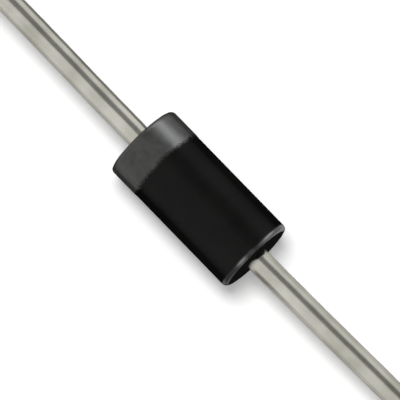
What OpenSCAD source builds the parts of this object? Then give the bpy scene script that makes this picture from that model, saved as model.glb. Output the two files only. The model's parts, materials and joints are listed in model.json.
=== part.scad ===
// Axial rectifier diode in a moulded body with two tinned wire leads.
// Millimetres. The axis of the diode lies along X: the banded cathode end is
// at -X, the anode end at +X, and the origin is the middle of the body.

/* [Moulded body] */
// Diameter of the moulded body
body_d = 2.6; // [2.2:0.1:3.6]
// Length of the moulded body, end face to end face
body_len = 5.1; // [4:0.1:8]
// Radius that rounds the rim at each end of the body
rim_r = 0.17; // [0.02:0.01:0.35]
// Height of the line that the joint of the mould leaves round the body
parting_h = 0.012; // [0.005:0.001:0.03]
// Width of that line
parting_w = 0.06; // [0.02:0.01:0.12]

/* [Cathode band] */
// Width of the printed band, from the end face to its inner edge
band_w = 1.1; // [0.6:0.05:1.8]
// Thickness of the printed ink
band_t = 0.02; // [0.01:0.005:0.05]
// How far round the rim's rounding the ink runs, in degrees
band_wrap = 62; // [10:1:80]

/* [Wire leads] */
// Diameter of the wire
lead_d = 0.78; // [0.5:0.02:0.9]
// Length of each lead outside the body
lead_len = 27.45; // [5:0.05:30]
// Chamfer that the cropping leaves at each lead's tip
tip_chamfer = 0.06; // [0:0.01:0.12]

/* [Nail heads] */
// Diameter of the head formed on the inner end of each lead
head_d = 1.5; // [1.2:0.05:1.6]
// Thickness of the head
head_t = 0.4; // [0.25:0.05:0.6]
// Radius that rounds the back rim of the head
head_round = 0.1; // [0.02:0.01:0.12]
// Diameter of the tapered neck where it meets the back of the head
neck_d = 0.96; // [0.91:0.01:1.1]
// Length over which the neck tapers down to the wire
neck_len = 0.25; // [0.05:0.05:0.4]

/* [Anchor collars] */
// Diameter of the collar rolled on each lead inside the body
collar_d = 1.14; // [0.95:0.01:1.5]
// Width of the collar at its crest
collar_w = 0.14; // [0.05:0.01:0.25]
// Length of the short slope on the collar's inner side
collar_slope = 0.08; // [0:0.01:0.15]
// Distance from the end face of the body to the middle of the collar
collar_depth = 0.75; // [0.5:0.01:0.95]

/* [Junction] */
// Width across the flats of the hexagonal chip
die_flats = 1.16; // [0.9:0.02:1.2]
// Full thickness of the chip
die_t = 0.28; // [0.2:0.01:0.4]
// Height of the etched step on the anode side of the chip
mesa_t = 0.1; // [0.05:0.01:0.15]
// How far the etched step is set in from the chip's edge
mesa_inset = 0.09; // [0.03:0.01:0.15]
// Thickness of each solder joint
solder_t = 0.06; // [0.02:0.01:0.12]
// How far the solder's edge on the chip stays in from the chip's flats
solder_inset = 0.03; // [0.01:0.01:0.1]
// How much wider the solder is on the head than on the chip, on each side
solder_spread = 0.08; // [0.01:0.01:0.1]
// How far the coating bead stands out past the rims of the heads
coating_proud = 0.15; // [0.05:0.01:0.25]
// How far the coating bead reaches along the rim of each head
coating_reach = 0.24; // [0.05:0.01:0.24]

/* [Hidden] */
$fn = 64;

body_r = body_d / 2;
body_half = body_len / 2;
rim_centre_r = body_r - rim_r;
straight_half = body_half - rim_r;
lead_r = lead_d / 2;
head_r = head_d / 2;
neck_r = neck_d / 2;
collar_r = collar_d / 2;

// The stack grows both ways from the middle of the chip.
die_half = die_t / 2;
head_face_x = die_half + solder_t;
head_back_x = head_face_x + head_t;
collar_x = body_half - collar_depth;
tip_x = body_half + lead_len;

// The solder is a round patch on the chip's back and on its stepped face.
back_patch_r = die_flats / 2 - solder_inset;
mesa_patch_r = back_patch_r - mesa_inset;

// The bead's outline is one arc: its chord lies on the rims of the heads and
// its height over the chord is coating_proud.
coating_half = head_face_x + min(coating_reach, head_t - head_round);
coating_arc_r = (pow(coating_half, 2) + pow(coating_proud, 2)) / (2 * coating_proud);
coating_arc_y = head_r + coating_proud - coating_arc_r;

body_black = [0.09, 0.09, 0.09];
ink_silver = [0.62, 0.63, 0.64];
wire_tin = [0.76, 0.76, 0.73];
solder_grey = [0.6, 0.6, 0.62];
silicon_grey = [0.35, 0.36, 0.4];
resin_white = [0.88, 0.88, 0.84];

// Turns a profile drawn with x as its radius and y along the diode into a
// solid round the X axis.
module turned() {
    rotate([0, 90, 0])
        rotate_extrude()
            children();
}

// Puts a shape that is drawn for the anode end at the cathode end as well.
module at_cathode_end() {
    mirror([1, 0, 0])
        children();
}

// Half profile of the body with both rims rounded, larger by grow all round.
module body_profile(grow = 0) {
    translate([0, -straight_half])
        square([body_r + grow, 2 * straight_half]);
    translate([0, -body_half - grow])
        square([rim_centre_r, body_len + 2 * grow]);
    for (end = [-1, 1])
        translate([rim_centre_r, end * straight_half])
            circle(r = rim_r + grow);
}

// Thin plate in the horizontal plane, with the body's own outline: what stands
// out of the body is the line left by the joint between the mould's halves.
module parting_plate(grow = 0) {
    linear_extrude(parting_w + 2 * grow, center = true)
        rotate([0, 0, 90])
            for (side = [0, 1])
                mirror([side, 0, 0])
                    body_profile(parting_h + grow);
}

// Outer form of the body, larger by grow all round.
module body_envelope(grow = 0) {
    turned()
        body_profile(grow);
    parting_plate(grow);
}

// Half profile of one lead, with y as the distance from the middle of the
// chip: head, neck, collar, wire and cropped tip.
module lead_profile() {
    // Neck and wire, with the crop's chamfer at the tip
    polygon([
        [0, head_face_x],
        [neck_r, head_face_x],
        [neck_r, head_back_x],
        [lead_r, head_back_x + neck_len],
        [lead_r, tip_x - tip_chamfer],
        [lead_r - tip_chamfer, tip_x],
        [0, tip_x]
    ]);
    // Nail head: flat face, rounded back rim
    translate([0, head_face_x])
        square([head_r, head_t - head_round]);
    translate([0, head_face_x])
        square([head_r - head_round, head_t]);
    translate([head_r - head_round, head_back_x - head_round])
        circle(r = head_round);
    // Collar: a crest with a short slope on its inner side and a long taper on
    // its outer side, which ends where the wire leaves the body
    polygon([
        [0, collar_x - collar_w / 2 - collar_slope],
        [lead_r, collar_x - collar_w / 2 - collar_slope],
        [collar_r, collar_x - collar_w / 2],
        [collar_r, collar_x + collar_w / 2],
        [lead_r, body_half],
        [0, body_half]
    ]);
}

module lead() {
    turned()
        lead_profile();
}

// Solder joint on the anode side of the chip: a patch of radius patch_r on the
// chip that spreads out towards the head.
module solder(patch_r) {
    translate([die_half, 0, 0])
        rotate([0, 90, 0])
            cylinder(h = solder_t, r1 = patch_r, r2 = patch_r + solder_spread);
}

// Hexagonal prism along X, from x0 to x1, with one flat facing down.
module hexagon_slab(flats, x0, x1) {
    translate([x0, 0, 0])
        rotate([0, 90, 0])
            rotate([0, 0, 30])
                cylinder(h = x1 - x0, d = flats / cos(30), $fn = 6);
}

module chip_form() {
    hexagon_slab(die_flats, -die_half, die_half - mesa_t);
    hexagon_slab(die_flats - 2 * mesa_inset, die_half - mesa_t, die_half);
}

// Bead of junction coating before the chip, solder and heads are cut out.
module coating_envelope() {
    turned()
        intersection() {
            translate([0, -coating_half])
                square([head_r + coating_proud, 2 * coating_half]);
            translate([coating_arc_y, 0])
                circle(r = coating_arc_r);
        }
}

module moulded_body() {
    color(body_black)
        difference() {
            body_envelope();
            lead();
            at_cathode_end()
                lead();
            coating_envelope();
        }
}

// Where the ink lies: from the band's inner edge to the end of the barrel, and
// on round the rim's rounding as far as band_wrap.
module band_zone() {
    reach = rim_r + parting_h + 2 * band_t;
    turned()
        translate([rim_centre_r, -straight_half])
            polygon([
                [0, 0],
                [reach * cos(band_wrap), -reach * sin(band_wrap)],
                [reach, -reach * sin(band_wrap)],
                [reach, band_w - rim_r],
                [0, band_w - rim_r]
            ]);
}

// The ink is a skin of one thickness on the body.
module cathode_band() {
    color(ink_silver)
        intersection() {
            difference() {
                body_envelope(band_t);
                body_envelope();
            }
            band_zone();
        }
}

module cathode_lead() {
    color(wire_tin)
        at_cathode_end()
            lead();
}

module anode_lead() {
    color(wire_tin)
        lead();
}

module silicon_die() {
    color(silicon_grey)
        chip_form();
}

module cathode_solder() {
    color(solder_grey)
        at_cathode_end()
            solder(back_patch_r);
}

module anode_solder() {
    color(solder_grey)
        solder(mesa_patch_r);
}

module junction_coating() {
    color(resin_white)
        difference() {
            coating_envelope();
            lead();
            at_cathode_end()
                lead();
            chip_form();
            solder(mesa_patch_r);
            at_cathode_end()
                solder(back_patch_r);
        }
}

moulded_body();
cathode_band();
cathode_lead();
anode_lead();
silicon_die();
cathode_solder();
anode_solder();
junction_coating();
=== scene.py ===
import json
import math

import bpy
import numpy as np
from mathutils import Matrix, Vector


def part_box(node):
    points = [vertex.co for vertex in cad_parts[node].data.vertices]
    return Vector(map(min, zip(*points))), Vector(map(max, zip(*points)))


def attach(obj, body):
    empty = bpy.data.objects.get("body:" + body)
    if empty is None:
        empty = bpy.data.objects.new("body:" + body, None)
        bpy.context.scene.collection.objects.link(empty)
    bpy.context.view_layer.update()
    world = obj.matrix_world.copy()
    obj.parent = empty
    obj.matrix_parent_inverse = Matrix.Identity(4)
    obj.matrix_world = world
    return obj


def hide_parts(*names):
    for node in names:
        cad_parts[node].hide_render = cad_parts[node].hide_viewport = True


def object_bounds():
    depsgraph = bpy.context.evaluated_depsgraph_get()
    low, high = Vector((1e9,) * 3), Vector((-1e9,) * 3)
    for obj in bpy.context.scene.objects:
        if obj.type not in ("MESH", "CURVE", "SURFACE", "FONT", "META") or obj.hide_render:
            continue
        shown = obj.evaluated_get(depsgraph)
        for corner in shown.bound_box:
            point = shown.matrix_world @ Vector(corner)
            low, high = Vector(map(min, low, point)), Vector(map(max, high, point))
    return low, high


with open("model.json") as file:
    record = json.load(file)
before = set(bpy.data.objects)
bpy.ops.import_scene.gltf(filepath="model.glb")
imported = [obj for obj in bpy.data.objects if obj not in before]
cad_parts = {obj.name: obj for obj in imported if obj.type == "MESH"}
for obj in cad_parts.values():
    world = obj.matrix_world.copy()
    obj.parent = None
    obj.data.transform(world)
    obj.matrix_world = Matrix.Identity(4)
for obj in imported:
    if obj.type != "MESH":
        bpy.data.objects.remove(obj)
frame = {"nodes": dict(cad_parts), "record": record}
CAD_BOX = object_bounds()

# ---------------------------------------------------------------------------
# Sizes, in millimetres. The diode's axis is X: cathode at -X, anode at +X.
# ---------------------------------------------------------------------------

MM = 0.001


def span(node):
    """Lowest and highest corner of a CAD node, in millimetres."""
    low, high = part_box(node)
    return np.array(low) / MM, np.array(high) / MM


pin = next(m for m in frame["record"]["mounts"] if m["name"] == "anode_pin")
lead_low, lead_high = span("anode_lead")
bead_low, bead_high = span("junction_coating")

WIRE_R = pin["dims"]["r_mm"]
TIP_X = lead_high[0]
BODY_HALF = TIP_X - pin["dims"]["length_mm"]
BODY_R = 1.3
RIM_R = 0.17
PARTING_H = 0.012
PARTING_W = 0.06

HEAD_R = lead_high[1]
HEAD_FACE_X = lead_low[0]
HEAD_T = 0.4
HEAD_ROUND = 0.1
NECK_R = 0.48
NECK_LEN = 0.25
COLLAR_R = 0.57
COLLAR_X = BODY_HALF - 0.75
COLLAR_HALF = 0.07
COLLAR_SLOPE = 0.08
TIP_CHAMFER = 0.06

BEAD_HALF = bead_high[0]
BEAD_R = bead_high[1]

BAND_EDGE_X = -BODY_HALF + 1.1
BAND_WRAP = math.radians(62)
INK_T = 0.011
FEATHER_REACH = 0.08


# ---------------------------------------------------------------------------
# Surfaces
# ---------------------------------------------------------------------------

def run(x0, x1, step):
    """Evenly spaced values from x0 to x1, both included, about step apart."""
    return np.linspace(x0, x1, max(2, int(round(abs(x1 - x0) / step)) + 1))


def arc(centre, radius, start, end, count):
    """Points (x, r) on an arc: centre plus radius times (sin a, cos a), with the
    angle a running from start to end, in degrees, away from straight outwards."""
    a = np.radians(np.linspace(start, end, count))
    return np.stack([centre[0] + radius * np.sin(a), centre[1] + radius * np.cos(a)], 1)


def line(p, q, step):
    """Points (x, r) on the straight line from p to q, about step apart."""
    count = max(2, int(round(math.dist(p, q) / step)) + 1)
    t = np.linspace(0, 1, count)[:, None]
    return (1 - t) * np.array(p, float) + t * np.array(q, float)


def join(*stretches):
    """Stretches of a section one after another, with repeated points dropped."""
    points = np.concatenate(stretches)
    fresh = np.r_[True, np.abs(np.diff(points, axis=0)).max(1) > 1e-6]
    return points[fresh]


def mesh_piece(name, points, faces, attributes=None, sharp=35):
    """Object from points in millimetres and faces, smooth but for edges that
    turn by more than sharp degrees. attributes maps names to a value a point."""
    mesh = bpy.data.meshes.new(name)
    mesh.from_pydata((points * MM).tolist(), [], faces)
    mesh.update()
    for key, values in (attributes or {}).items():
        layer = mesh.attributes.new(key, "FLOAT", "POINT")
        layer.data.foreach_set("value", np.asarray(values, np.float32).ravel())
    mesh.shade_smooth()
    mesh.set_sharp_from_angle(angle=math.radians(sharp))
    piece = bpy.data.objects.new(name, mesh)
    bpy.context.scene.collection.objects.link(piece)
    return piece


def ring_faces(rings, count, first=0, loop=False):
    """Quads between rings of count points each, facing away from the axis
    where the section runs towards +X. loop joins the last ring to the first."""
    k = np.arange(rings if loop else rings - 1)[:, None]
    j = np.arange(count)[None, :]
    a = first + k * count
    b = first + ((k + 1) % rings) * count
    n = (j + 1) % count
    quads = np.stack([a + j + 0 * n, a + n, b + n, b + j + 0 * n], -1)
    return quads.reshape(-1, 4).tolist()


def cap_faces(ring_start, count, pole, towards_plus):
    """Triangles that close a ring with the point pole on the axis."""
    j = np.arange(count)
    n = (j + 1) % count
    around = (j, n) if towards_plus else (n, j)
    return np.stack([ring_start + around[0], ring_start + around[1], np.full(count, pole)], 1).tolist()


def ring_angles(plain, ridge_count=0, ridge_half=9.0):
    """Angles round the axis from +Y. With ridge_count, more of them lie within
    ridge_half degrees of +Y and -Y, where the mould's joint runs."""
    base = np.linspace(0, 360, plain, endpoint=False)
    if ridge_count:
        near = np.linspace(-ridge_half, ridge_half, ridge_count)
        clear = np.abs((base + 90) % 180 - 90) > ridge_half + 0.4
        base = np.sort(np.concatenate([base[clear], near % 360, (near + 180) % 360]))
    return np.radians(base)


def turned_grid(section, angles):
    """Grid of points: section point k turned by angle j about X, which is
    (x_k, r_k cos a_j, r_k sin a_j)."""
    x = section[:, 0][:, None] + 0 * angles
    y = section[:, 1][:, None] * np.cos(angles)
    z = section[:, 1][:, None] * np.sin(angles)
    return np.stack([x, y, z], -1)


def slow_wave(x, lengths, size, seed):
    """Sum of sines along x with the given wavelengths and seeded phases, scaled
    so that its usual height is size."""
    phases = np.random.default_rng(seed).uniform(0, 2 * math.pi, len(lengths))
    waves = [np.sin(2 * math.pi * x / w + p) for w, p in zip(lengths, phases)]
    return size * np.sum(waves, axis=0) / math.sqrt(len(lengths))


# ---------------------------------------------------------------------------
# Moulded body
# ---------------------------------------------------------------------------

def outer_section():
    """Outside of the body from the cathode end's hole to the anode end's hole:
    flat end face, quarter-round rim, barrel, quarter-round rim, flat end face."""
    straight = BODY_HALF - RIM_R
    rim_centre_r = BODY_R - RIM_R
    return join(
        line((-BODY_HALF, WIRE_R), (-BODY_HALF, rim_centre_r), 0.05),
        arc((-straight, rim_centre_r), RIM_R, -90, 0, 13),
        line((-straight, BODY_R), (straight, BODY_R), 0.08),
        arc((straight, rim_centre_r), RIM_R, 0, 90, 13),
        line((BODY_HALF, rim_centre_r), (BODY_HALF, WIRE_R), 0.05),
    )


def seat_section():
    """The cavity round the anode lead and the bead, from the end face's hole
    inwards to the middle of the chip."""
    back = HEAD_FACE_X + HEAD_T
    chord_r = HEAD_R
    height = BEAD_R - HEAD_R
    bead_arc_r = (BEAD_HALF ** 2 + height ** 2) / (2 * height)
    x = run(BEAD_HALF, 0, 0.04)
    bead = np.stack([x, BEAD_R - bead_arc_r + np.sqrt(bead_arc_r ** 2 - x ** 2)], 1)
    return join(
        line((BODY_HALF, WIRE_R), (COLLAR_X + COLLAR_HALF, COLLAR_R), 0.1),
        line((COLLAR_X + COLLAR_HALF, COLLAR_R), (COLLAR_X - COLLAR_HALF, COLLAR_R), 0.1),
        line((COLLAR_X - COLLAR_HALF, COLLAR_R), (COLLAR_X - COLLAR_HALF - COLLAR_SLOPE, WIRE_R), 0.1),
        line((COLLAR_X - COLLAR_HALF - COLLAR_SLOPE, WIRE_R), (back + NECK_LEN, WIRE_R), 0.1),
        line((back + NECK_LEN, WIRE_R), (back, NECK_R), 0.1),
        line((back, NECK_R), (back, HEAD_R - HEAD_ROUND), 0.1),
        arc((back - HEAD_ROUND, HEAD_R - HEAD_ROUND), HEAD_ROUND, 90, 0, 7),
        line((back - HEAD_ROUND, chord_r), (BEAD_HALF, chord_r), 0.1),
        bead,
    )


def hump(value, middle, half_width, power=2):
    """exp(-|(value - middle) / half_width|^power)"""
    return np.exp(-np.abs((value - middle) / half_width) ** power)


def from_top(angles):
    """Angles in degrees from straight up, positive towards +Y."""
    return (90 - np.degrees(angles) + 180) % 360 - 180


def rubbed_share(angles):
    """How far the rim is rubbed smooth round the body, from 0 to 1: most on the
    +Y side, in two short places on the -Y side, and little between them."""
    turn = from_top(angles)
    share = 0.2 + 0.8 * hump(turn, 62, 46, 6)
    share += 0.5 * hump(turn, -6, 5) + 1.2 * hump(turn, -25, 8) + 0.5 * hump(turn, -140, 40, 4)
    return np.clip(share, 0, 1)


def make_body():
    """The moulded body: one closed section turned about the axis. Outside, the
    surface stands out by the parting line's height where the mould's joint
    crosses it, as a smooth ridge exp(-(z / half width)^4) at +Y and -Y."""
    outer = outer_section()
    seat = seat_section()
    inner = join(seat, seat[::-1] * [-1, 1])
    section = np.concatenate([outer, inner[1:-1]])
    angles = ring_angles(232, 25)
    grid = turned_grid(section, angles)
    tangent = np.gradient(outer, axis=0)
    normal = np.stack([-tangent[:, 1], tangent[:, 0]], 1)
    normal /= np.linalg.norm(normal, axis=1)[:, None]
    count = len(outer)
    fade = np.clip((outer[:, 1] - WIRE_R) / 0.1, 0, 1)[:, None]
    ridge = PARTING_H * fade * np.exp(-(grid[:count, :, 2] / (PARTING_W / 2)) ** 4)
    grid[:count, :, 0] += normal[:, 0][:, None] * ridge
    grid[:count, :, 1] += normal[:, 1][:, None] * ridge * np.cos(angles)
    grid[:count, :, 2] += normal[:, 1][:, None] * ridge * np.sin(angles)
    slant = np.abs(normal[:, 0])
    rim = np.zeros(len(section))
    face = np.zeros(len(section))
    rim[:count] = np.clip((slant - 0.1) / 0.2, 0, 1) * np.clip((0.99 - slant) / 0.08, 0, 1)
    face[:count] = np.clip((slant - 0.9) / 0.09, 0, 1)
    rim = rim[:, None] * rubbed_share(angles)
    face = np.repeat(face, len(angles))
    points = grid.reshape(-1, 3)
    return mesh_piece("body_shell", points, ring_faces(len(section), len(angles), loop=True),
                      {"rim": rim, "end_face": face})


# ---------------------------------------------------------------------------
# Cathode band
# ---------------------------------------------------------------------------

def band_edge(angles):
    """Inner edge of the ink round the body: the straight edge plus seeded waves
    of a few hundredths of a millimetre, and one place where it falls short."""
    waves = np.zeros_like(angles)
    draw = np.random.default_rng(11)
    for order in (2, 3, 5, 8, 13, 21, 34):
        waves += draw.normal() / order ** 0.6 * np.sin(order * angles + draw.uniform(0, 6.28))
    short = -0.035 * hump(from_top(angles), -2, 22)
    return BAND_EDGE_X + FEATHER_REACH + 0.009 * waves + short


def make_band():
    """The printed ink: a skin over the rim's rounding and the barrel. Its outer
    side stands off by a thickness that falls to nothing at both edges, as
    1 - exp(-distance / 0.03), and its inner side lies just inside the body."""
    angles = ring_angles(232, 25)
    edge = band_edge(angles)
    straight = -(BODY_HALF - RIM_R)
    rim_centre_r = BODY_R - RIM_R
    bend = np.linspace(-BAND_WRAP, 0, 16)
    bend_len = BAND_WRAP * RIM_R
    share = np.concatenate([np.linspace(0, 0.85, 24)[1:], 0.85 + 0.15 * np.linspace(0, 1, 22)[1:]])
    rim_x = straight + RIM_R * np.sin(bend)
    rim_r = rim_centre_r + RIM_R * np.cos(bend)
    x = np.concatenate([rim_x[:, None] + 0 * angles, straight + share[:, None] * (edge - straight)])
    r = np.concatenate([rim_r[:, None] + 0 * angles, np.full((len(share), len(angles)), BODY_R)])
    nx = np.concatenate([np.sin(bend), np.zeros(len(share))])[:, None]
    nr = np.concatenate([np.cos(bend), np.ones(len(share))])[:, None]
    from_start = np.concatenate([(bend + BAND_WRAP)[:, None] * RIM_R + 0 * angles,
                                 bend_len + share[:, None] * (edge - straight)])
    to_edge = (bend_len + edge - straight) - from_start
    near = np.minimum(from_start, to_edge)
    thickness = INK_T * (1 - np.exp(-near / 0.03))

    def skin(offset):
        rr = r + nr * offset
        y, z = rr * np.cos(angles), rr * np.sin(angles)
        ridge = PARTING_H * np.exp(-(z / (PARTING_W / 2)) ** 4)
        y += nr * ridge * np.cos(angles)
        z += nr * ridge * np.sin(angles)
        return np.stack([x + nx * (offset + ridge), y, z], -1)

    outside = skin(thickness)
    inside = skin(np.full_like(thickness, -0.004))[::-1]
    grid = np.concatenate([outside, inside])
    edge_mm = np.concatenate([to_edge, to_edge[::-1]])
    points = grid.reshape(-1, 3)
    faces = ring_faces(len(grid), len(angles), loop=True)
    return mesh_piece("band_ink", points, faces, {"edge_mm": edge_mm}, sharp=60)


# ---------------------------------------------------------------------------
# Leads
# ---------------------------------------------------------------------------

def lead_section():
    """The anode lead from its flat head to its cropped tip: head with a rounded
    back rim, tapered neck, wire, collar, wire and the crop's chamfer."""
    back = HEAD_FACE_X + HEAD_T
    return join(
        line((HEAD_FACE_X, 0.1), (HEAD_FACE_X, HEAD_R), 0.1),
        line((HEAD_FACE_X, HEAD_R), (back - HEAD_ROUND, HEAD_R), 0.1),
        arc((back - HEAD_ROUND, HEAD_R - HEAD_ROUND), HEAD_ROUND, 0, 90, 7),
        line((back, HEAD_R - HEAD_ROUND), (back, NECK_R), 0.1),
        line((back, NECK_R), (back + NECK_LEN, WIRE_R), 0.1),
        line((back + NECK_LEN, WIRE_R), (COLLAR_X - COLLAR_HALF - COLLAR_SLOPE, WIRE_R), 0.1),
        line((COLLAR_X - COLLAR_HALF - COLLAR_SLOPE, WIRE_R), (COLLAR_X - COLLAR_HALF, COLLAR_R), 0.1),
        line((COLLAR_X - COLLAR_HALF, COLLAR_R), (COLLAR_X + COLLAR_HALF, COLLAR_R), 0.1),
        line((COLLAR_X + COLLAR_HALF, COLLAR_R), (BODY_HALF, WIRE_R), 0.1),
        line((BODY_HALF, WIRE_R), (BODY_HALF + 0.2, WIRE_R), 0.0125),
        line((BODY_HALF + 0.2, WIRE_R), (TIP_X - TIP_CHAMFER, WIRE_R), 0.06),
        line((TIP_X - TIP_CHAMFER, WIRE_R), (TIP_X, WIRE_R - TIP_CHAMFER), 0.02),
        line((TIP_X, WIRE_R - TIP_CHAMFER), (TIP_X, 0.08), 0.06),
    )


def make_lead(name, side, seed, bow):
    """One lead: its section turned about X, then made a little uneven outside
    the body, where the wire's radius and its middle wander by seeded waves of
    a few thousandths of a millimetre, and the whole wire bows sideways by
    bow * sin(pi * u^0.75)^2, where u runs from 0 at the body to 1 at the tip.
    side is 1 for the anode, -1 for the cathode, mirrored end for end."""
    section = lead_section()
    if side < 0:
        section = section[::-1] * [-1, 1]
    angles = ring_angles(96)
    grid = turned_grid(section, angles)
    x = section[:, 0][:, None]
    free = np.clip((np.abs(x) - BODY_HALF) / 0.4, 0, 1) * np.clip((TIP_X - 0.1 - np.abs(x)) / 0.5, 0, 1)
    draw = np.random.default_rng(seed)
    swell = np.zeros((len(section), len(angles)))
    for order in (2, 3, 4, 5):
        turn = draw.uniform(0, 6.28) + slow_wave(x, (2.1, 3.7, 6.3), 0.9, seed + order)
        swell += 0.0030 / order * np.cos(order * angles + turn)
    swell += slow_wave(x, (0.55, 0.9, 1.7), 0.0012, seed + 20)
    shift_y = slow_wave(x, (5.0, 8.3, 13.0), 0.008, seed + 30)
    shift_z = slow_wave(x, (4.4, 7.1, 12.0), 0.008, seed + 40)
    u = np.clip((np.abs(x) - BODY_HALF) / (TIP_X - BODY_HALF), 0, 1)
    grid[..., 1] += free * (swell * np.cos(angles) + shift_y) + bow * np.sin(math.pi * u ** 0.75) ** 2
    grid[..., 2] += free * (swell * np.sin(angles) + shift_z)
    rings = len(section)
    count = len(angles)
    ends = np.array([[section[0, 0], 0, 0], [section[-1, 0], 0, 0]])
    points = np.concatenate([grid.reshape(-1, 3), ends])
    faces = ring_faces(rings, count)
    faces += cap_faces(0, count, rings * count, False)
    faces += cap_faces((rings - 1) * count, count, rings * count + 1, True)
    copper = np.clip((np.abs(points[:, 0]) - (TIP_X - 0.004)) / 0.002, 0, 1)
    # Painted shade at the root: a near-black, non-metal film on the wire where it leaves the body,
    # longest on the side about 18 degrees from the top towards +Y.
    root_shade_len = 0.035 + 0.085 * hump(from_top(angles), 18, 34, 4)
    root_shade_len += slow_wave(np.degrees(angles), (360, 120, 45), 0.008, seed + 60)
    root_shade = np.clip((root_shade_len - (np.abs(x) - BODY_HALF)) / 0.03 + 0.5, 0, 1)
    root_shade = np.append(root_shade.ravel(), (0, 0))
    return mesh_piece(name, points, faces, {"bare_copper": copper, "root_painted_shade": root_shade})


# ---------------------------------------------------------------------------
# Shader groups
# ---------------------------------------------------------------------------

def put(tree, kind, values=None, **settings):
    """New node of a kind, with its settings and its sockets' values."""
    node = tree.nodes.new(kind)
    for key, value in settings.items():
        setattr(node, key, value)
    for key, value in (values or {}).items():
        node.inputs[key].default_value = value
    return node


def wire_up(tree, *pairs):
    """Links given as (from node, output, to node, input)."""
    for source, out, target, into in pairs:
        tree.links.new(source.outputs[out], target.inputs[into])


def group(name, inputs, outputs):
    """Empty shader node group with named sockets; returns it with its ends."""
    tree = bpy.data.node_groups.new(name, "ShaderNodeTree")
    for label, kind, value in inputs:
        socket = tree.interface.new_socket(label, in_out="INPUT", socket_type=kind)
        if value is not None:
            socket.default_value = value
    for label, kind in outputs:
        tree.interface.new_socket(label, in_out="OUTPUT", socket_type=kind)
    return tree, tree.nodes.new("NodeGroupInput"), tree.nodes.new("NodeGroupOutput")


FLOAT = "NodeSocketFloat"
VECTOR = "NodeSocketVector"


def grain_group():
    """Fine grain: noise with Grains per metre as Height, and slower noise with
    Patches per metre, spread to a mask between 0 and 1."""
    tree, start, end = group(
        "fine_grain",
        [("Grains per metre", FLOAT, 20000.0), ("Patches per metre", FLOAT, 900.0)],
        [("Height", FLOAT), ("Patches", FLOAT)],
    )
    coords = put(tree, "ShaderNodeTexCoord")
    fine = put(tree, "ShaderNodeTexNoise", {"Detail": 2.0, "Roughness": 0.6})
    slow = put(tree, "ShaderNodeTexNoise", {"Detail": 3.0, "Roughness": 0.55})
    spread = put(tree, "ShaderNodeMapRange", {"From Min": 0.35, "From Max": 0.65})
    wire_up(tree,
            (coords, "Object", fine, "Vector"), (coords, "Object", slow, "Vector"),
            (start, "Grains per metre", fine, "Scale"), (start, "Patches per metre", slow, "Scale"),
            (fine, "Fac", end, "Height"), (slow, "Fac", spread, "Value"),
            (spread, "Result", end, "Patches"))
    return tree


def draw_marks_group():
    """Draw marks: noise that is fine round the wire and long along it, from
    Object coordinates multiplied by Squeeze, and slow patches as a mask. Height
    is the fine marks, Streaks the same at a third of the count."""
    tree, start, end = group(
        "draw_marks",
        [("Marks per metre", FLOAT, 12000.0), ("Squeeze", VECTOR, (0.02, 1.0, 1.0)),
         ("Patches per metre", FLOAT, 300.0)],
        [("Height", FLOAT), ("Streaks", FLOAT), ("Patches", FLOAT)],
    )
    coords = put(tree, "ShaderNodeTexCoord")
    squeeze = put(tree, "ShaderNodeVectorMath", operation="MULTIPLY")
    fine = put(tree, "ShaderNodeTexNoise", {"Detail": 3.0, "Roughness": 0.6})
    broad = put(tree, "ShaderNodeTexNoise", {"Detail": 1.0, "Roughness": 0.5})
    third = put(tree, "ShaderNodeMath", operation="MULTIPLY")
    third.inputs[1].default_value = 0.3
    slow = put(tree, "ShaderNodeTexNoise", {"Detail": 2.0, "Roughness": 0.5})
    spread = put(tree, "ShaderNodeMapRange", {"From Min": 0.35, "From Max": 0.65})
    wire_up(tree,
            (coords, "Object", squeeze, 0), (start, "Squeeze", squeeze, 1),
            (squeeze, "Vector", fine, "Vector"), (squeeze, "Vector", broad, "Vector"),
            (start, "Marks per metre", fine, "Scale"),
            (start, "Marks per metre", third, 0), (third, "Value", broad, "Scale"),
            (coords, "Object", slow, "Vector"), (start, "Patches per metre", slow, "Scale"),
            (fine, "Fac", end, "Height"), (broad, "Fac", end, "Streaks"),
            (slow, "Fac", spread, "Value"), (spread, "Result", end, "Patches"))
    return tree


GRAIN = grain_group()
DRAW_MARKS = draw_marks_group()


def use_group(tree, inner, values=None):
    """The group as a node of tree, with values for its inputs."""
    node = put(tree, "ShaderNodeGroup", node_tree=inner)
    for key, value in (values or {}).items():
        node.inputs[key].default_value = value
    return node


# ---------------------------------------------------------------------------
# Materials
# ---------------------------------------------------------------------------

def material(name, **sockets):
    """Material with one Principled BSDF; sockets are its uniform values, with
    underscores for spaces."""
    made = bpy.data.materials.new(name)
    made.use_nodes = True
    tree = made.node_tree
    shader = tree.nodes["Principled BSDF"]
    for key, value in sockets.items():
        shader.inputs[key.replace("_", " ")].default_value = value
    return made, tree, shader


def two_tone(tree, mask_node, mask_out, first, second):
    """Colour that runs from first to second with the mask."""
    mix = put(tree, "ShaderNodeMix", data_type="RGBA")
    mix.inputs["A"].default_value = (*first, 1)
    mix.inputs["B"].default_value = (*second, 1)
    tree.links.new(mask_node.outputs[mask_out], mix.inputs["Factor"])
    return mix


def mix_out(mix):
    """The colour output of a Mix node set to RGBA."""
    return mix.outputs[2]


def vary(tree, mask_node, mask_out, low, high):
    """Value that runs from low to high with the mask."""
    span_node = put(tree, "ShaderNodeMapRange", {"To Min": low, "To Max": high})
    tree.links.new(mask_node.outputs[mask_out], span_node.inputs["Value"])
    return span_node


def bump(tree, shader, source, out, strength, distance):
    """Bump from a height, in metres of depth, into the shader's normal."""
    node = put(tree, "ShaderNodeBump", {"Strength": strength, "Distance": distance})
    tree.links.new(source.outputs[out], node.inputs["Height"])
    tree.links.new(node.outputs["Normal"], shader.inputs["Normal"])
    return node


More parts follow.
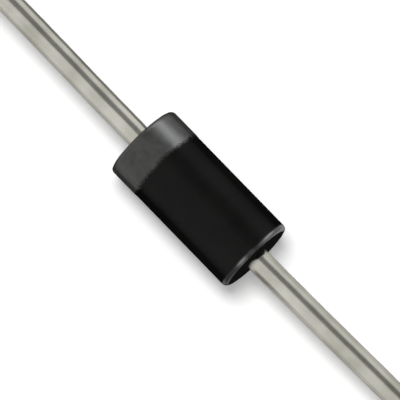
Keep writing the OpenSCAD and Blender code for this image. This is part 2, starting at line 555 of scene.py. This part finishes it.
def gloss_by_angle(tree, shader, level, start, stop):
    """Specular level that falls from level to nothing as the surface turns
    away, where a satin skin spreads its gloss too widely to show."""
    turn = put(tree, "ShaderNodeLayerWeight", {"Blend": 0.5})
    fall = put(tree, "ShaderNodeMapRange",
               {"From Min": start, "From Max": stop, "To Min": level, "To Max": 0.0},
               interpolation_type="SMOOTHSTEP")
    wire_up(tree, (turn, "Facing", fall, "Value"), (fall, "Result", shader, "Specular IOR Level"))
    return fall


def epoxy_material():
    """Black moulding compound: satin, with a fine moulded grain, slightly paler
    end faces and rims that are rubbed smooth in places."""
    made, tree, shader = material("black_epoxy", Specular_IOR_Level=0.2)
    grain = use_group(tree, GRAIN, {"Grains per metre": 14000.0, "Patches per metre": 900.0})
    tone = two_tone(tree, grain, "Patches", (0.0038, 0.0038, 0.0037), (0.0056, 0.0055, 0.0052))
    # End faces paler than the barrel.
    face = put(tree, "ShaderNodeAttribute", attribute_name="end_face")
    paler_end = put(tree, "ShaderNodeMix", data_type="RGBA")
    paler_end.inputs["B"].default_value = (0.0125, 0.0125, 0.0120, 1)
    wire_up(tree, (face, "Fac", paler_end, "Factor"))
    tree.links.new(mix_out(tone), paler_end.inputs["A"])
    tree.links.new(mix_out(paler_end), shader.inputs["Base Color"])
    rim = put(tree, "ShaderNodeAttribute", attribute_name="rim")
    rough = vary(tree, grain, "Patches", 0.32, 0.38)
    rubbed = put(tree, "ShaderNodeMix", data_type="FLOAT")
    rubbed.inputs["B"].default_value = 0.28
    wire_up(tree,
            (rim, "Fac", rubbed, "Factor"), (rough, "Result", rubbed, "A"),
            (rubbed, "Result", shader, "Roughness"))
    barrel = gloss_by_angle(tree, shader, 0.09, 0.12, 0.5)
    edge = gloss_by_angle(tree, shader, 0.8, 0.62, 0.9)
    level = put(tree, "ShaderNodeMix", data_type="FLOAT")
    wire_up(tree,
            (rim, "Fac", level, "Factor"), (barrel, "Result", level, "A"),
            (edge, "Result", level, "B"), (level, "Result", shader, "Specular IOR Level"))
    bump(tree, shader, grain, "Height", 0.6, 0.000004)
    return made


def ink_material():
    """Printed ink: silver-grey, thin, mottled, and feathered at its edge."""
    made, tree, shader = material("silver_grey_ink", Specular_IOR_Level=0.3)
    gloss_by_angle(tree, shader, 0.3, 0.3, 0.62)
    grain = use_group(tree, GRAIN, {"Grains per metre": 16000.0, "Patches per metre": 3500.0})
    tone = two_tone(tree, grain, "Patches", (0.034, 0.0343, 0.0325), (0.050, 0.0507, 0.0485))
    tree.links.new(mix_out(tone), shader.inputs["Base Color"])
    rough = vary(tree, grain, "Patches", 0.30, 0.36)
    tree.links.new(rough.outputs["Result"], shader.inputs["Roughness"])
    bump(tree, shader, grain, "Height", 0.6, 0.000004)
    edge = put(tree, "ShaderNodeAttribute", attribute_name="edge_mm")
    ragged = put(tree, "ShaderNodeMath", operation="MULTIPLY_ADD")
    ragged.inputs[1].default_value = 0.03
    wire_up(tree, (grain, "Patches", ragged, 0), (edge, "Fac", ragged, 2))
    cover = put(tree, "ShaderNodeMapRange", {"From Min": 0.0, "From Max": 0.20},
                interpolation_type="SMOOTHSTEP")
    wire_up(tree, (ragged, "Value", cover, "Value"), (cover, "Result", shader, "Alpha"))
    return made


def tin_material():
    """Tinned wire: satin tin with draw marks along it, slightly warm by turns,
    bare copper on the cropped end and painted shade: a near-black film at the root."""
    made, tree, shader = material("tinned_copper_wire", Metallic=1.0)
    shader.inputs["Specular Tint"].default_value = (0.3, 0.3, 0.3, 1)
    marks = use_group(tree, DRAW_MARKS, {"Patches per metre": 750.0})
    tin = two_tone(tree, marks, "Patches", (0.445, 0.437, 0.375), (0.615, 0.603, 0.545))
    streak = two_tone(tree, marks, "Streaks", (0.86, 0.86, 0.86), (1.05, 1.05, 1.05))
    streaked = put(tree, "ShaderNodeMix", data_type="RGBA", blend_type="MULTIPLY")
    streaked.inputs["Factor"].default_value = 1.0
    tree.links.new(mix_out(tin), streaked.inputs["A"])
    tree.links.new(mix_out(streak), streaked.inputs["B"])
    bare = put(tree, "ShaderNodeAttribute", attribute_name="bare_copper")
    final = put(tree, "ShaderNodeMix", data_type="RGBA")
    final.inputs["B"].default_value = (0.70, 0.30, 0.17, 1)
    wire_up(tree, (bare, "Fac", final, "Factor"))
    tree.links.new(mix_out(streaked), final.inputs["A"])
    # Painted shade at the wire's root: near-black and not metallic where the mask is 1.
    root_shade = put(tree, "ShaderNodeAttribute", attribute_name="root_painted_shade")
    root_shaded = put(tree, "ShaderNodeMix", data_type="RGBA")
    root_shaded.inputs["B"].default_value = (0.012, 0.011, 0.009, 1)
    wire_up(tree, (root_shade, "Fac", root_shaded, "Factor"))
    tree.links.new(mix_out(final), root_shaded.inputs["A"])
    tree.links.new(mix_out(root_shaded), shader.inputs["Base Color"])
    metal = vary(tree, root_shade, "Fac", 1.0, 0.0)
    tree.links.new(metal.outputs["Result"], shader.inputs["Metallic"])
    rough = vary(tree, marks, "Streaks", 0.22, 0.30)
    tree.links.new(rough.outputs["Result"], shader.inputs["Roughness"])
    bump(tree, shader, marks, "Height", 0.5, 0.000002)
    return made


def plain_material(name, first, second, rough_low, rough_high, grains, metallic=0.0, depth=0.000003):
    """Two-tone material with grain, for the parts inside the body."""
    made, tree, shader = material(name, Metallic=metallic)
    grain = use_group(tree, GRAIN, {"Grains per metre": grains, "Patches per metre": grains / 12})
    tone = two_tone(tree, grain, "Patches", first, second)
    tree.links.new(mix_out(tone), shader.inputs["Base Color"])
    rough = vary(tree, grain, "Patches", rough_low, rough_high)
    tree.links.new(rough.outputs["Result"], shader.inputs["Roughness"])
    bump(tree, shader, grain, "Height", 0.4, depth)
    return made


# ---------------------------------------------------------------------------
# Pieces
# ---------------------------------------------------------------------------

tin = tin_material()
body = make_body()
band = make_band()
cathode = make_lead("cathode_wire", -1, 101, 0.06)
anode = make_lead("anode_wire", 1, 202, 0.15)

for piece, node, slot, finish in (
    (body, "moulded_body", "body_epoxy", epoxy_material()),
    (band, "cathode_band", "band_ink", ink_material()),
    (cathode, "cathode_lead", "tinned_wire", tin),
    (anode, "anode_lead", "tinned_wire", tin),
):
    piece.data.materials.append(finish)
    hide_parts(node)
    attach(piece, "root")

solder = plain_material("soft_solder", (0.42, 0.42, 0.43), (0.55, 0.55, 0.56),
                        0.32, 0.48, 16000.0, 1.0)
inner_finishes = {
    "silicon_die": plain_material("etched_silicon", (0.13, 0.14, 0.17), (0.19, 0.20, 0.24),
                                  0.28, 0.42, 24000.0, 0.35),
    "cathode_solder": solder,
    "anode_solder": solder,
    "junction_coating": plain_material("silicone_resin", (0.72, 0.72, 0.67), (0.82, 0.82, 0.78),
                                       0.45, 0.6, 9000.0),
}
for node, finish in inner_finishes.items():
    cad = frame["nodes"][node]
    cad.data.materials.clear()
    cad.data.materials.append(finish)


# ---------------------------------------------------------------------------
# Floor, light and camera
# ---------------------------------------------------------------------------

def seen_factor(tree):
    """1 for camera, glossy and transmission rays, else 0."""
    path = put(tree, "ShaderNodeLightPath")
    first = put(tree, "ShaderNodeMath", operation="MAXIMUM")
    second = put(tree, "ShaderNodeMath", operation="MAXIMUM")
    wire_up(tree,
            (path, "Is Camera Ray", first, 0), (path, "Is Glossy Ray", first, 1),
            (first, "Value", second, 0), (path, "Is Transmission Ray", second, 1))
    return second


def make_floor():
    """A wide flat sheet under the part. It takes the part's shadow, shows white
    where nothing shades it, and fades to plain white far from the part."""
    reach = 0.6
    z = CAD_BOX[0][2]
    corners = np.array([[-reach, -reach, z], [reach, -reach, z],
                        [reach, reach, z], [-reach, reach, z]]) / MM
    floor = mesh_piece("floor", corners, [[0, 1, 2, 3]])
    made, tree, shader = material("pale_floor", Roughness=0.9, Specular_IOR_Level=0.0)
    shader.inputs["Base Color"].default_value = (0.88, 0.88, 0.88, 1)
    out = tree.nodes["Material Output"]
    seen = seen_factor(tree)
    shine = put(tree, "ShaderNodeMath", operation="MULTIPLY")
    shine.inputs[1].default_value = 0.24
    glow = put(tree, "ShaderNodeEmission")
    add = put(tree, "ShaderNodeAddShader")
    wire_up(tree, (seen, "Value", shine, 0), (shine, "Value", glow, "Strength"),
            (shader, "BSDF", add, 0), (glow, "Emission", add, 1))
    white = put(tree, "ShaderNodeEmission", {"Strength": 1.0})
    coords = put(tree, "ShaderNodeTexCoord")
    length = put(tree, "ShaderNodeVectorMath", operation="LENGTH")
    far = put(tree, "ShaderNodeMapRange", {"From Min": 0.08, "From Max": 0.3},
              interpolation_type="SMOOTHSTEP")
    fade = put(tree, "ShaderNodeMixShader")
    wire_up(tree, (coords, "Object", length, 0), (length, "Value", far, "Value"),
            (far, "Result", fade, "Fac"), (add, "Shader", fade, 1), (white, "Emission", fade, 2))
    under = put(tree, "ShaderNodeNewGeometry")
    clear = put(tree, "ShaderNodeBsdfTransparent")
    sides = put(tree, "ShaderNodeMixShader")
    wire_up(tree, (under, "Backfacing", sides, "Fac"), (fade, "Shader", sides, 1),
            (clear, "BSDF", sides, 2), (sides, "Shader", out, "Surface"))
    floor.data.materials.append(made)
    return floor


def make_world():
    """White to the camera and in reflections, and a plain soft fill for light."""
    world = bpy.data.worlds.new("studio")
    bpy.context.scene.world = world
    world.use_nodes = True
    tree = world.node_tree
    background = tree.nodes["Background"]
    background.inputs["Color"].default_value = (1, 1, 1, 1)
    level = put(tree, "ShaderNodeMapRange", {"To Min": 0.30, "To Max": 1.0})
    wire_up(tree, (seen_factor(tree), "Value", level, "Value"), (level, "Result", background, "Strength"))


def aimed(position, target=(0, 0, 0)):
    """Turn that points an object's -Z from position at target."""
    return (Vector(target) - Vector(position)).to_track_quat("-Z", "Y").to_matrix().to_4x4()


def make_key():
    """Broad sun from nearly overhead, a little towards the cathode end. It
    lights surfaces and casts the soft shadow, and no gloss shows it."""
    data = bpy.data.lights.new("key", "SUN")
    data.energy = 2.15
    data.angle = math.radians(24)
    key = bpy.data.objects.new("key", data)
    bpy.context.scene.collection.objects.link(key)
    towards = Vector((-0.19, 0.035, 1.0)).normalized()
    key.matrix_world = Matrix.Translation(towards * 0.3) @ aimed(towards * 0.3)
    key.visible_glossy = False
    return key


def area(name, direction, distance, width, height, energy_radiance, roll_up=(0, 0, 1)):
    """Rectangular lamp at a distance from the origin in a direction, facing the
    origin, that lights gloss only. energy_radiance is how bright it looks."""
    data = bpy.data.lights.new(name, "AREA")
    data.shape = "RECTANGLE"
    data.size = width
    data.size_y = height
    data.energy = energy_radiance * math.pi * width * height
    lamp = bpy.data.objects.new(name, data)
    bpy.context.scene.collection.objects.link(lamp)
    towards = Vector(direction).normalized()
    back = towards
    right = Vector(roll_up).cross(back).normalized()
    up = back.cross(right)
    turn = Matrix((right, up, back)).transposed().to_4x4()
    lamp.matrix_world = Matrix.Translation(towards * distance) @ turn
    lamp.visible_diffuse = False
    lamp.visible_camera = False
    lamp.visible_transmission = False
    return lamp


def only_lights(lamp, name, pieces):
    """The lamp lights nothing but these pieces."""
    lit = bpy.data.collections.new(name)
    for piece in pieces:
        lit.objects.link(piece)
    lamp.light_linking.receiver_collection = lit


def gloss_only(name, corners, near_x, far_x, near, far):
    """Flat strip seen only in gloss. How bright it looks runs from near to far
    as the distance from the part's middle along X runs from near_x to far_x."""
    strip = mesh_piece(name, np.array(corners, float), [[0, 1, 2, 3]])
    made = bpy.data.materials.new(name)
    made.use_nodes = True
    tree = made.node_tree
    tree.nodes.remove(tree.nodes["Principled BSDF"])
    glow = put(tree, "ShaderNodeEmission")
    coords = put(tree, "ShaderNodeTexCoord")
    split = put(tree, "ShaderNodeSeparateXYZ")
    away = put(tree, "ShaderNodeMath", operation="ABSOLUTE")
    level = put(tree, "ShaderNodeMapRange", {
        "From Min": near_x * MM, "From Max": far_x * MM, "To Min": near, "To Max": far})
    wire_up(tree,
            (coords, "Object", split, "Vector"), (split, "X", away, 0), (away, "Value", level, "Value"),
            (level, "Result", glow, "Strength"),
            (glow, "Emission", tree.nodes["Material Output"], "Surface"))
    strip.data.materials.append(made)
    for flag in ("visible_camera", "visible_diffuse", "visible_transmission",
                 "visible_shadow", "visible_volume_scatter"):
        setattr(strip, flag, False)
    return strip


def make_card():
    """A dark strip overhead, along the wire: it gives the dark stripe down the
    middle of the leads."""
    height, near_y, far_y, half_length, x_mid = 200, -3, 207, 600, -23
    gloss_only("overhead_card", [
        [x_mid - half_length, near_y, height], [x_mid - half_length, far_y, height],
        [x_mid + half_length, far_y, height], [x_mid + half_length, near_y, height],
    ], 0, 600, 0.27, 0.27)


def make_fence(name, side, y, low, high, near, far, far_x):
    """A dark strip standing beside one lead, from z low to high: it gives the
    dark line along that lead's edge. side is 1 for the anode's lead."""
    x0, x1 = side * (BODY_HALF + 0.1), side * TIP_X
    corners = [[x0, y, low], [x1, y, low], [x1, y, high], [x0, y, high]]
    gloss_only(name, corners, BODY_HALF, far_x, near, far)


# What the frame takes in, side to side, and how far the aim lies right of and
# below the middle of the part, in millimetres.
FRAME_MM = 400 / 32.6
AIM_MM = 1.2 / 32.6


def make_camera():
    """Long lens, nearly overhead, with the part lying across the view's
    diagonal, cathode end up and to the left."""
    azimuth, elevation = math.radians(46.32), math.radians(79.19)
    back = Vector((math.sin(azimuth) * math.cos(elevation),
                   -math.cos(azimuth) * math.cos(elevation),
                   math.sin(elevation)))
    right = Vector((math.cos(azimuth), math.sin(azimuth), 0))
    up = back.cross(right)
    data = bpy.data.cameras.new("camera")
    data.lens = 800
    data.sensor_width = 36
    data.clip_start = 0.001
    data.clip_end = 10
    camera = bpy.data.objects.new("camera", data)
    bpy.context.scene.collection.objects.link(camera)
    across = FRAME_MM * MM
    distance = across * data.lens / data.sensor_width
    target = (right - up) * (AIM_MM * MM)
    turn = Matrix((right, up, back)).transposed().to_4x4()
    camera.matrix_world = Matrix.Translation(target + back * distance) @ turn
    bpy.context.scene.camera = camera
    return camera


make_floor()
make_world()
make_key()
make_card()
floor_z = CAD_BOX[0][2] / MM
make_fence("cathode_far_fence", -1, 2.0, floor_z, 0.15, 0.12, 0.32, 4.2)
make_fence("cathode_near_fence", -1, -1.6, floor_z, 0.0, 0.75, 0.8, 6.0)
make_fence("anode_near_fence", 1, -1.6, floor_z, 0.15, 0.2, 0.8, 5.0)
make_fence("anode_far_fence", 1, 2.0, -0.6, 0.5, 0.7, 0.8, 5.0)
far_end_lamp = area("far_end_light", (0.68, 0.69, 0.24), 0.25, 0.26, 0.2, 3.2)
near_end_lamp = area("near_end_light", (0.76, -0.53, 0.36), 0.25, 0.14, 0.2, 2.3)
side_lamp = area("side_light", (-0.136, 0.866, 0.480), 0.25, 0.5, 0.125, 8.5)
side_lamp.data.color = (0.97, 0.985, 1.0)
only_lights(far_end_lamp, "lit_by_far_end_light", [body])
only_lights(near_end_lamp, "lit_by_near_end_light", [body])
only_lights(side_lamp, "lit_by_side_light", [band])
make_camera()

bpy.context.scene.view_settings.view_transform = "Standard"
